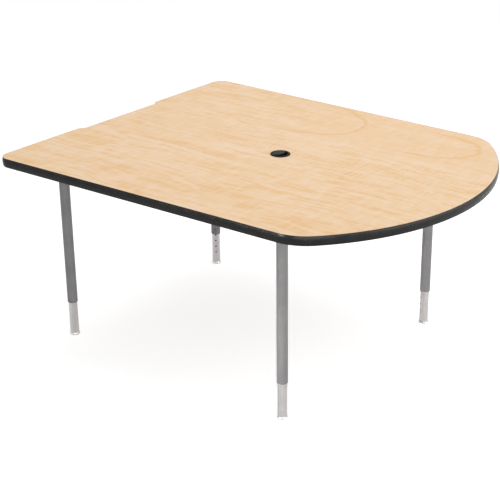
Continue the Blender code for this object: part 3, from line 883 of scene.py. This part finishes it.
def painted_steel(name, colour, lighter):
    """Baked powder paint: a fine orange peel over a soft, faintly metallic grey."""
    varnish = {"Coat_Weight": 0.25, "Coat_Roughness": 0.22}
    material, tree, shader = finish_of(name, 0.36, Specular_IOR_Level=0.50, **varnish)
    tone = skinned(shader, 0.0011, 0.06, 0.00004, 0.31, 0.41)
    specks = used(tree, DUST, Speck=0.0006, Amount=0.42)["Specks"]
    toned = blended(between(tone, 0.3, 0.72), colour, lighter)
    coloured(shader, tinted(specks, 0.35, toned, (0.42, 0.42, 0.42)))
    return material


def bore_shade_mask(tree):
    """1 in the bore and the holes of every insert, where painted shade darkens them, 0 on its
    plated outside.
    """
    axes = parted(spot(tree))
    place = combined(X=axes["X"], Y=value("ABSOLUTE", axes["Y"]))
    apart = []
    for leg in ("flat_left", "bow_left"):
        axis = (*axis_of("insert_" + leg), 0.0)
        ray = add(tree, "ShaderNodeVectorMath", place, axis, operation="DISTANCE")
        apart.append(ray.outputs["Value"])
    reach = value("MINIMUM", *apart)
    return between(reach, INSERT_RADIUS - BORE_SHADE_FROM, INSERT_RADIUS - BORE_SHADE_TO)


def plated_steel(name, colour, shade, roughness, ringed=0.0, cloud=1.0, bore=None):
    """Bright plating on drawn tube: fine lines along it, cloudy patches, slide marks, and
    painted shade: a near-black colour in the bore and holes.
    """
    material, tree, shader = finish_of(name, roughness, 1.0)
    drawn, hair = (
        grains(tree, Length=size, Width=size, Depth=depth, Bend=0.0)
        for size, depth in ((0.0022, 0.35), (0.0004, 0.05))
    )
    tone = used(tree, SKIN, Size=0.0008, Patch=0.018)["Tone"]
    clouded = tinted(between(tone, 0.35, 0.75), cloud, colour, shade)
    lined = tinted(between(drawn, 0.42, 0.70), 0.55, clouded, shade)
    if ringed:
        rings = grains(tree, Length=0.06, Width=0.06, Depth=0.0012, Bend=0.0)
        lined = tinted(between(rings, 0.55, 0.78), ringed, lined, shade)
    dull = between(hair, *SOFT_TONE, roughness - 0.05, roughness + 0.09)
    # Painted shade: the bore colour darkens the bore and the holes' walls, standing in for
    # the shade inside a closed tube, and makes them rougher
    if bore:
        bore_shade = bore_shade_mask(tree)
        lined = blended(bore_shade, lined, bore)
        dull = value("MAXIMUM", dull, times(bore_shade, 0.6))
    feed(shader, {"Base Color": lined, "Roughness": dull})
    relief(shader, hair, 0.00001)
    return material


def pressed_board(name):
    """The bare core: flat wood flakes of many tones."""
    material, tree, shader = finish_of(name, 0.9, Specular_IOR_Level=0.2)
    place = stretched(spot(tree), 0.006, 0.003, 0.0012)
    flakes = add(tree, "ShaderNodeTexVoronoi", Vector=place, Scale=1.0).outputs
    tone = made("ShaderNodeSeparateColor", flakes["Color"])
    dips = used(tree, SKIN, Size=0.0007, Patch=0.03)["Height"]
    chips = blended(tone, (0.30, 0.19, 0.10), (0.58, 0.43, 0.27))
    coloured(shader, tinted(dips, 0.4, chips, (0.22, 0.14, 0.08)))
    relief(shader, flakes["Distance"], 0.0002)
    return material


def backer_paper(name):
    """The brown balancing sheet under the top: resin paper with a faint fibre."""
    material, tree, shader = finish_of(name, 0.55, Specular_IOR_Level=0.4)
    fibre = between(grains(tree, Length=0.02, Width=0.0012, Bend=0.02), 0.45, 0.75)
    tone = skinned(shader, 0.0009, 0.15, 0.00003, 0.48, 0.62)
    light = between(tone, *SOFT_TONE)
    paper = blended(light, (0.120, 0.080, 0.055), (0.165, 0.115, 0.080))
    coloured(shader, tinted(fibre, 0.5, paper, (0.085, 0.055, 0.038)))
    return material


# Pieces of the top
def band_section():
    """The edge band's section: distance in from the outline, and height."""
    half = TOP_THICKNESS / 2
    crown = (half**2 + BAND_CROWN**2) / (2 * BAND_CROWN)
    flat = half - BAND_ROLL_HEIGHT
    face = []
    for step in range(-8, 9):
        height = flat * step / 8
        face.append((crown - sqrt(crown**2 - height**2), height))
    reach = face[0][0] + BAND_ROLL_DEPTH
    high = []
    for step in range(1, 7):
        angle = pi / 2 * step / 6
        depth = reach - BAND_ROLL_DEPTH * cos(angle)
        high.append((depth, flat + BAND_ROLL_HEIGHT * sin(angle)))
    low = [(x, -y) for x, y in reversed(high)]
    tongue = [(BAND_CAP, TONGUE_THICKNESS / 2)]
    for barb in range(BARB_COUNT):
        start = BAND_CAP + TONGUE_LENGTH * (barb + 0.5) / BARB_COUNT
        end = BAND_CAP + TONGUE_LENGTH * (barb + 1.0) / BARB_COUNT
        tongue.append((start, TONGUE_THICKNESS / 2))
        tongue.append((start, TONGUE_THICKNESS / 2 + BARB_RISE))
        tongue.append((end, TONGUE_THICKNESS / 2))
    lower = [(x, -y) for x, y in reversed(tongue)]
    cap = [(BAND_CAP, -half)] + low + face + high + [(BAND_CAP, half)]
    return cap + tongue + lower


def loop_mesh(name, points):
    """A closed loop of edges through flat points."""
    mesh = bpy.data.meshes.new(name)
    edges = [(i, (i + 1) % len(points)) for i in range(len(points))]
    mesh.from_pydata([(x, y, 0.0) for x, y in points], edges, [])
    return mesh


def make_band(finish):
    low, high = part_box("edge_band")
    section = linked("band_section", loop_mesh("band_section", band_section()))
    outline = loop_mesh("band_moulding", top_outline(0.0))
    outline.transform(Matrix.Translation((0.0, 0.0, (low.z + high.z) / 2)))
    band = grown("band_moulding", outline, band_tree(), Section=section, Finish=finish)
    discard(section)
    mended(band.data)
    dress(shaded(band, 50.0), finish, "table", "black_band", "edge_band")


def make_sheets(laminate, backer):
    hole = ((GROMMET_X, 0.0), TOP_HOLE_RADIUS)
    outline = top_outline(BAND_CAP + JOINT_LINE)
    for name, node, bevel, finish, slot in (
        ("laminate_sheet", "top_laminate", LAMINATE_BEVEL, laminate, "maple_laminate"),
        ("backer_face", "backer_sheet", 0.0, backer, "backer"),
    ):
        low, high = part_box(node)
        item = shaded(sheet(name, outline, low.z, high.z, hole, bevel))
        true_flat(item)
        dress(item, finish, "table", slot, node)


def make_grommet(ring_finish, cap_finish):
    low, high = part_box("grommet_liner")
    flange_low = high.z - FLANGE_HEIGHT
    skirt = TOP_HOLE_RADIUS - GAP
    bore = skirt - LINER_WALL
    ledge = bore - LEDGE_WIDTH
    cap_high = high.z - GAP
    cap_low = cap_high - CAP_THICKNESS
    ledge_high = cap_low - GAP
    corners = [
        (FLANGE_RADIUS, high.z, FLANGE_EDGE_RADIUS),
        (FLANGE_RADIUS, flange_low, FLANGE_UNDER_EDGE),
        (skirt, flange_low, 0.0),
        (skirt, low.z, MOULDED_EDGE),
        (bore, low.z, MOULDED_EDGE),
        (bore, ledge_high - LEDGE_THICKNESS, 0.0),
        (ledge, ledge_high - LEDGE_THICKNESS, LEDGE_EDGE),
        (ledge, ledge_high, LEDGE_EDGE),
        (bore, ledge_high, 0.0),
        (bore, high.z, FLANGE_INNER_RADIUS),
    ]
    ring = linked("grommet_ring", turned("grommet_ring", filleted(corners), TUBE_FACETS))
    ring.data.transform(Matrix.Translation((GROMMET_X, 0.0, 0.0)))
    shaded(ring, 40.0)
    dress(ring, ring_finish, "table", "black_plastic", "grommet_liner")

    disc = bore - GAP
    rim = ledge - GAP
    rim_low = cap_low - CAP_RIM_DEPTH
    profile = [
        (0.0, cap_high),
        (disc, cap_high),
        (disc, cap_low),
        (rim, cap_low),
        (rim, rim_low),
        (rim - CAP_RIM_WALL, rim_low),
        (rim - CAP_RIM_WALL, cap_low),
        (0.0, cap_low),
    ]
    cap = linked("grommet_lid", turned("grommet_lid", profile, TUBE_FACETS, False))
    centre_x = disc - CABLE_SLOT_WIDTH - CABLE_SLOT_RADIUS
    curve = arc((centre_x, 0.0), CABLE_SLOT_RADIUS, -pi / 2, pi / 2, SLOT_FACETS)
    outline = curve + [(2 * disc, CABLE_SLOT_RADIUS), (2 * disc, -CABLE_SLOT_RADIUS)]
    slot = sheet("slot_cutter", outline, rim_low - GAP, cap_high + GAP)
    for vertex in slot.data.vertices:
        if vertex.co.z < cap_low:
            vertex.co.x -= SLOT_UNDERCUT
    slot.data.transform(Matrix.Rotation(CABLE_SLOT_BEARING, 4, "Z"))
    cap = softened(bored(cap, slot), MOULDED_EDGE)
    cap.data.transform(Matrix.Translation((GROMMET_X, 0.0, 0.0)))
    shaded(cap)
    dress(cap, cap_finish, "grommet_cap", "grey_black_plastic", "grommet_cap")


# Pieces of a leg
def tube_with_holes(name, profile, radii, finish, tree, count, first):
    """A turned tube with its holes, their rims eased, its walls truly round."""
    sizes = {"Pitch": HOLE_PITCH, "Radius": HOLE_RADIUS, "Facets": HOLE_FACETS}
    rows = {"Count": count, "First": first, "Reach": 2 * radii[0]}
    tube = turned(name, profile, TUBE_FACETS)
    item = grown(name, tube, tree, Finish=finish, **rows, **sizes)
    mended(item.data)
    item = shaded(softened(item, HOLE_EDGE, 50.0), 40.0)
    true_round(item, *radii)
    return item


def threaded(name, radius, depth, pitch, low, high):
    """A rod whose surface climbs in a true screw thread, its ends eased."""
    model = bmesh.new()
    count = ceil((high - low) / pitch * THREAD_ROWS_PER_TURN)
    rings = []
    for row in range(count + 1):
        height = low + (high - low) * row / count
        eased = depth * (1.0 - min(height - low, high - height) / pitch)
        reaches = []
        for facet in range(ROD_FACETS):
            phase = (height / pitch - facet / ROD_FACETS) % 1.0
            ridge = 1.0 - abs(2.0 * phase - 1.0)
            cut = depth * min(1.0, THREAD_STEEPNESS * (1.0 - ridge))
            reaches.append(radius - max(cut, eased))
        rings.append(ring_of(model, reaches, height))
    bridged(model, rings)
    model.faces.new(list(reversed(rings[0])))
    model.faces.new(rings[-1])
    return mesh_of(name, model)


def joined(name, meshes):
    """Several meshes as one mesh of separate bodies."""
    model = bmesh.new()
    for mesh in meshes:
        model.from_mesh(mesh)
    return mesh_of(name, model)


def leg_patterns(paint, plating):
    """The tubes that all four legs share, on an upright axis at the origin."""
    sleeve_low, sleeve_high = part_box("sleeve_flat_left")
    insert_low, insert_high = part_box("insert_flat_left")
    holes = hole_tree()
    bore = INSERT_RADIUS + SLEEVE_PLAY
    lip = INSERT_RADIUS + GAP
    lock = sleeve_low.z + LOCK_RISE
    corners = [
        (SLEEVE_RADIUS, sleeve_high.z, 0.0),
        (SLEEVE_RADIUS, sleeve_low.z, SLEEVE_LIP),
        (lip, sleeve_low.z, 0.0),
        (lip, sleeve_low.z + SLEEVE_WALL / 2, 0.0),
        (bore, sleeve_low.z + SLEEVE_WALL, 0.0),
        (bore, sleeve_high.z, 0.0),
    ]
    profile, radii = filleted(corners, 8), (SLEEVE_RADIUS, bore)
    sleeve = tube_with_holes("sleeve_pattern", profile, radii, paint, holes, LOCK_COUNT, lock)
    wall = INSERT_RADIUS - INSERT_WALL
    corners = [
        (INSERT_RADIUS, insert_high.z, INSERT_OUTER_EDGE),
        (INSERT_RADIUS, insert_low.z, INSERT_OUTER_EDGE),
        (wall, insert_low.z, INSERT_INNER_EDGE),
        (wall, insert_high.z, INSERT_INNER_EDGE),
    ]
    profile, radii = filleted(corners, 3), (INSERT_RADIUS, wall)
    lowest = lock - HOLES_BELOW_LOCK * HOLE_PITCH
    insert = tube_with_holes(
        "insert_pattern", profile, radii, plating, holes, HOLE_COUNT, lowest
    )
    return {"leg_sleeve": sleeve, "leg_insert": insert}


def glide_patterns():
    """The cup, the pad and the riveted thread of a glide, on an upright axis."""
    base_low, base_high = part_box("glide_base_flat_left")
    pad_low, pad_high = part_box("glide_pad_flat_left")
    stem_low, stem_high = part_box("glide_stem_flat_left")
    recess = PAD_RADIUS + GAP
    roof = pad_high.z + GAP
    pocket = RIVET_RADIUS + GAP
    pocket_roof = roof + RIVET_THICKNESS + GAP
    whole = 1.0 + GLIDE_FLARE_SHARE
    waist = (GLIDE_TOP_RADIUS + GLIDE_FLARE_SHARE * GLIDE_FLARE_RADIUS) / whole
    corners = [
        (GLIDE_TOP_RADIUS, base_high.z, GLIDE_TOP_EDGE),
        (waist, base_high.z - GLIDE_WAIST_DROP, GLIDE_WAIST_EDGE),
        (GLIDE_FLARE_RADIUS, base_low.z + GLIDE_FLARE_RISE, GLIDE_TOP_EDGE),
        (GLIDE_FLARE_RADIUS, base_low.z, GLIDE_FOOT_EDGE),
        (recess, base_low.z, 0.0),
        (recess, roof, 0.0),
        (pocket, roof, 0.0),
        (pocket, pocket_roof, 0.0),
        (STEM_RADIUS + GAP, pocket_roof, 0.0),
        (STEM_RADIUS + GAP, base_high.z, GLIDE_BORE_EDGE),
    ]
    base = turned("glide_cup", filleted(corners, 6), TUBE_FACETS)
    corners = [
        (0.0, pad_high.z, 0.0),
        (PAD_RADIUS, pad_high.z, 0.0),
        (PAD_RADIUS, pad_low.z, PAD_EDGE),
        (0.0, pad_low.z, 0.0),
    ]
    pad = turned("glide_foot", filleted(corners, 6), TUBE_FACETS, False)
    rivet_high = stem_low.z + RIVET_THICKNESS
    rod = threaded("rod", STEM_RADIUS, THREAD_DEPTH, THREAD_PITCH, rivet_high, stem_high.z)
    profile = [
        (0.0, rivet_high),
        (RIVET_RADIUS, rivet_high),
        (RIVET_RADIUS, stem_low.z),
        (0.0, stem_low.z),
    ]
    rivet = turned("rivet", profile, ROD_FACETS, False)
    thread = joined("glide_thread", [rod, rivet])
    return {
        "glide_cup": shaded(linked("cup_pattern", base), 40.0),
        "glide_foot": shaded(linked("foot_pattern", pad), 40.0),
        "glide_thread": shaded(linked("thread_pattern", thread), 30.0),
    }


def cross_screw():
    """A pan-head screw with its cross recess, seat at the origin, point up +Z."""
    solid = turned("screw_pattern", filleted(WOOD_SCREW, 4), ROD_FACETS, False)
    model = bmesh.new()
    for turn in (0.0, pi / 2):
        bar = bmesh.ops.create_cube(model, size=1.0)["verts"]
        for vertex in bar:
            deep = vertex.co.z > 0.0
            vertex.co.x *= CROSS_SPAN * (CROSS_TAPER if deep else 1.0)
            vertex.co.y *= CROSS_WIDTH
            vertex.co.z = CROSS_FLOOR if deep else CROSS_MOUTH
        bmesh.ops.rotate(model, verts=bar, matrix=Matrix.Rotation(turn, 3, "Z"))
    recess = linked("recess", mesh_of("recess", model))
    screw = bored(linked("screw_pattern", solid), recess, True)
    mended(screw.data, SCREW_MERGE)
    return shaded(screw, 40.0)


def socket_screw():
    """A socket set screw, its tip at the origin, its driven end up +Z."""
    length = SLEEVE_RADIUS - LOCK_SCREW_SUNK - INSERT_RADIUS - GAP
    corners = [
        (0.0, length, 0.0),
        (LOCK_SCREW_RADIUS, length, LOCK_SCREW_EDGES[0]),
        (LOCK_SCREW_RADIUS, 0.0, LOCK_SCREW_EDGES[1]),
        (0.0, 0.0, 0.0),
    ]
    solid = turned("set_screw_pattern", filleted(corners, 3), LOCK_SCREW_FACETS, False)
    hexagon = circle((0.0, 0.0), HEX_RADIUS, 6)
    socket = sheet("hex_cutter", hexagon, length - HEX_DEPTH, length + 0.001)
    screw = bored(linked("set_screw_pattern", solid), socket)
    mended(screw.data, SCREW_MERGE)
    return shaded(screw, 40.0)


def points_mesh(name, spots):
    """Loose points, each with the bearing that its screw faces."""
    mesh = bpy.data.meshes.new(name)
    mesh.from_pydata([spot[:3] for spot in spots], [], [])
    bearing = mesh.attributes.new("bearing", "FLOAT", "POINT")
    bearing.data.foreach_set("value", [spot[3] for spot in spots])
    return mesh


def plate_pattern(corners):
    """A mounting plate at the origin, with a screw hole near each corner."""
    low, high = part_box("mount_plate_flat_left")
    half = PLATE_SIDE / 2 - PLATE_CORNER
    outline = []
    for quarter, (x, y) in enumerate(QUARTERS):
        start = pi / 2 * quarter
        outline += arc((half * x, half * y), PLATE_CORNER, start, start + pi / 2, 10)
    plate = sheet("plate_pattern", outline, low.z, high.z)
    model = bmesh.new()
    for x, y in corners:
        bmesh.ops.create_cone(
            model,
            cap_ends=True,
            segments=PLATE_HOLE_FACETS,
            radius1=PLATE_HOLE_RADIUS,
            radius2=PLATE_HOLE_RADIUS,
            depth=PLATE_DRILL_LENGTH,
            matrix=Matrix.Translation((x, y, low.z)),
        )
    plate = bored(plate, linked("plate_drills", mesh_of("plate_drills", model)))
    plate = shaded(softened(plate, PLATE_EDGE, 50.0))
    true_flat(plate)
    return plate


def make_weld(leg, tree, x, y, height, finish):
    """The bead that joins a sleeve's upper end to its plate."""
    ring = loop_mesh("weld", circle((0.0, 0.0), SLEEVE_RADIUS, WELD_FACETS))
    ring.transform(Matrix.Translation((x, y, height)))
    sizes = {"Thickness": WELD_RADIUS, "Ripples": WELD_RIPPLES, "Ripple": WELD_RIPPLE}
    bead = grown("weld_bead_" + leg, ring, tree, Finish=finish, **sizes)
    mended(bead.data)
    dress(shaded(bead, 60.0), finish, "table", "grey_paint")


def make_screws(name, pattern, tree, spots, lean, seed, finish, slot):
    """Sets a screw at each spot of (node, x, y, z, bearing)."""
    points = points_mesh(name, [spot[1:] for spot in spots])
    ways = {"Screw": pattern, "Lean": lean, "Seed": seed, "Finish": finish}
    screws = grown(name, points, tree, **ways)
    discard(pattern)
    dress(screws, finish, "table", slot, *(spot[0] for spot in spots))


def make_legs(finishes):
    paint = finishes["grey_paint"]
    reach = PLATE_SIDE / 2 - PLATE_SCREW_INSET
    corners = [(reach * x, reach * y) for x, y in QUARTERS]
    patterns = {
        **leg_patterns(paint, finishes["plated_steel"]),
        **glide_patterns(),
        "leg_plate": plate_pattern(corners),
    }
    weld = weld_tree()
    under_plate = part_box("mount_plate_flat_left")[0].z - GAP
    plate_spots = []
    lock_spots = []
    for leg in LEGS:
        low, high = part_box("sleeve_" + leg)
        x, y = axis_of("sleeve_" + leg)
        bearing = BEARINGS[leg]
        own, glide = "leg_" + leg, "glide_" + leg
        for piece, turn, finish, body, slot, node in (
            ("leg_sleeve", bearing, "grey_paint", "table", "grey_paint", "sleeve_"),
            ("leg_insert", bearing, "plated_steel", own, "plated_steel", "insert_"),
            ("leg_plate", 0.0, "grey_paint", "table", "grey_paint", "mount_plate_"),
            ("glide_cup", 0.0, "plated_glide", glide, "plated_steel", "glide_base_"),
            ("glide_foot", 0.0, "pale_nylon", glide, "pale_nylon", "glide_pad_"),
            ("glide_thread", 0.0, "zinc_screw", glide, "zinc_screw", "glide_stem_"),
        ):
            item = copy_at(piece + "_" + leg, patterns[piece], x, y, turn)
            dress(item, finishes[finish], body, slot, node + leg)
            if piece == "leg_plate":
                make_weld(leg, weld, x, y, high.z, paint)
        for number, (dx, dy) in enumerate(corners, 1):
            node = f"plate_screw_{leg}_{number}"
            plate_spots.append((node, x + dx, y + dy, under_plate, 0.0))
        tip = INSERT_RADIUS + GAP
        axis = (x + tip * cos(bearing), y + tip * sin(bearing))
        for number in range(1, LOCK_COUNT + 1):
            height = low.z + LOCK_RISE + (number - 1) * HOLE_PITCH
            lock_spots.append((f"lock_screw_{leg}_{number}", *axis, height, bearing))

    tree = screw_tree()
    for name, pattern, spots, lean, seed, slot in (
        ("wood_screws", cross_screw(), plate_spots, 0.0, 7, "zinc_screw"),
        ("set_screws", socket_screw(), lock_spots, pi / 2, 11, "black_screw"),
    ):
        make_screws(name, pattern, tree, spots, lean, seed, finishes[slot], slot)
    for item in patterns.values():
        discard(item)


# Studio
def make_camera():
    camera = bpy.data.cameras.new("camera")
    camera.sensor_width = 36.0
    camera.lens = CAMERA_LENS
    camera.shift_x, camera.shift_y = CAMERA_SHIFT
    camera.clip_end = 100.0
    item = linked("camera", camera)
    item.location = CAMERA_PLACE
    item.rotation_euler = CAMERA_TURN
    SCENE.camera = item


def emptied(owner):
    """The node tree of a material or a world, with nothing in it."""
    owner.use_nodes = True
    owner.node_tree.nodes.clear()
    return owner.node_tree


def seen_by(tree):
    """1 for what the camera sees, directly and then in metal and glass."""
    path = add(tree, "ShaderNodeLightPath").outputs
    glassy = value("MAXIMUM", path["Is Glossy Ray"], path["Is Transmission Ray"])
    return path["Is Camera Ray"], glassy


def either(mask, first, second):
    return made("ShaderNodeMixShader", mask, first, second)


def make_floor():
    """A pale floor that keeps the table's shadow and can't be seen from below."""
    mesh = bpy.data.meshes.new("floor")
    spots = [(FLOOR_REACH * x, FLOOR_REACH * y, 0.0) for x, y in QUARTERS]
    mesh.from_pydata(spots, [], [(2, 3, 0, 1)])
    floor = linked("floor", mesh)
    floor.location.z = -FLOOR_DROP
    material = bpy.data.materials.new("floor")
    tree = emptied(material)
    camera, mirrored = seen_by(tree)
    lift = times(mirrored, FLOOR_LIFT_MIRRORED)
    lift = value("MULTIPLY_ADD", camera, FLOOR_LIFT, lift)
    matt = add(tree, "ShaderNodeBsdfDiffuse", Color=FLOOR_GREY).outputs[0]
    glow = made("ShaderNodeEmission", Color=WHITE, Strength=lift)
    lit = made("ShaderNodeAddShader", matt, glow)
    back = add(tree, "ShaderNodeNewGeometry").outputs["Backfacing"]
    clear = add(tree, "ShaderNodeBsdfTransparent").outputs[0]
    sided = either(back, lit, clear)
    add(tree, "ShaderNodeOutputMaterial", Surface=sided)
    mesh.materials.append(material)


def make_world():
    """White where the camera looks, a softer light on the table itself."""
    SCENE.world = bpy.data.worlds.new("studio")
    tree = emptied(SCENE.world)
    ambient, backdrop = (
        add(tree, "ShaderNodeBackground", Color=WHITE, Strength=strength).outputs[0]
        for strength in (AMBIENT, 1.0)
    )
    shown = value("MAXIMUM", *seen_by(tree))
    add(tree, "ShaderNodeOutputWorld", Surface=either(shown, ambient, backdrop))


def make_lamp(name, place, aim, width, height, power, spread):
    lamp = bpy.data.lights.new(name, "AREA")
    lamp.shape = "RECTANGLE"
    lamp.size = width
    lamp.size_y = height
    lamp.energy = power
    lamp.spread = radians(spread)
    item = linked(name, lamp)
    item.location = place
    item.rotation_euler = (Vector(aim) - Vector(place)).to_track_quat("-Z", "Y").to_euler()


def main():
    SCENE.view_settings.view_transform = "Standard"
    make_camera()
    make_floor()
    make_world()
    for lamp in LAMPS:
        make_lamp(*lamp)
    finishes = {name: moulded(name, *look) for name, look in MOULDINGS.items()}
    finishes["grey_paint"] = painted_steel("grey_paint", *PAINT)
    for name, look in PLATINGS.items():
        finishes[name] = plated_steel(name, *look)
    make_band(finishes["black_band"])
    make_sheets(maple_laminate(), backer_paper("backer"))
    make_grommet(finishes["black_plastic"], finishes["grey_black_plastic"])
    make_legs(finishes)
    inner = {"insert_plug_" + leg: finishes["black_nylon"] for leg in LEGS}
    inner["top_core"] = pressed_board("particle_board")
    for node, finish in inner.items():
        coat(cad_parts[node], finish)


main()
